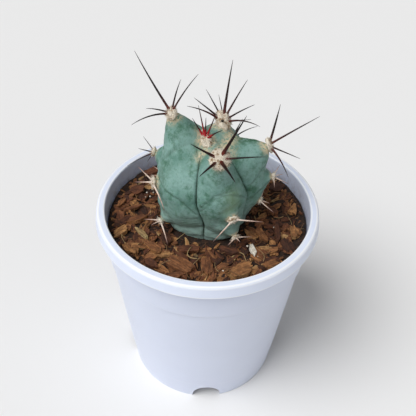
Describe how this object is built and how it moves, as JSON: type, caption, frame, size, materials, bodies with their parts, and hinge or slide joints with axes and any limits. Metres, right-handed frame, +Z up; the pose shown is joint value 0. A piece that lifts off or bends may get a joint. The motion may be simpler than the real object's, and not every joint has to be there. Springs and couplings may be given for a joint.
{
  "type": "potted barrel cactus",
  "caption": "Young ribbed barrel cactus with long dark spines, rooted in chunky bark mix in a plain white round nursery pot that has drain arches in its foot.",
  "frame": {"origin": "centre of the pot's resting face, on the plane of its foot ring", "axes": "+Z up along the pot's axis; -Y is the side that the large front tubercle and the pictured side face; +X is to its right"},
  "size_m": [0.1, 0.1, 0.1638],
  "materials": {
    "white_plastic": "satin bluish-white polypropylene",
    "potting_mix": "moist crumbly bark fines",
    "bark": "rough red-brown bark",
    "white_mineral": "chalky white expanded mineral",
    "cactus_skin": "waxy blue-green skin with a pale bloom",
    "spines": "dark red-brown horny spines, pale on the oldest areoles",
    "areole_wool": "short cream to tan wool",
    "fibres": "thin dry bark and root fibres"
  },
  "bodies": {
    "root": {"areole_apex": "spines", "areole_back_left_low": "spines", "areole_back_left_middle": "spines", "areole_back_low": "spines", "areole_back_middle": "spines", "areole_back_top": "spines", "areole_front_low": "spines", "areole_front_middle": "spines", "areole_front_top": "spines", "areole_left_low": "spines", "areole_left_middle": "spines", "areole_left_top": "spines", "areole_right_low": "spines", "areole_right_middle": "spines", "areole_right_top": "spines", "bark_chip_back": "bark", "bark_chip_back_long": "bark", "bark_chip_back_right": "bark", "bark_chip_back_stick": "bark", "bark_chip_behind_left": "bark", "bark_chip_big_front": "bark", "bark_chip_bottom": "bark", "bark_chip_crumbly_foot": "bark", "bark_chip_curled_left": "bark", "bark_chip_dark_back_right": "bark", "bark_chip_dark_foot": "bark", "bark_chip_diagonal": "bark", "bark_chip_edge_left": "bark", "bark_chip_fibrous_front": "bark", "bark_chip_fibrous_right": "bark", "bark_chip_long_left": "bark", "bark_chip_low_left": "bark", "bark_chip_olive_left": "bark", "bark_chip_orange_left": "bark", "bark_chip_orange_right": "bark", "bark_chip_pale_strip": "bark", "bark_chip_red_foot": "bark", "bark_chip_red_left": "bark", "bark_chip_right_behind": "bark", "bark_chip_right_foot": "bark", "bark_chip_small_orange": "bark", "bark_chip_tan_right": "bark", "bark_chip_upright": "bark", "bark_chip_wedge_front": "bark", "pot": "white_plastic", "potting_mix": "potting_mix", "stem": "cactus_skin", "white_chip": "white_mineral"}
  },
  "joints": []
}
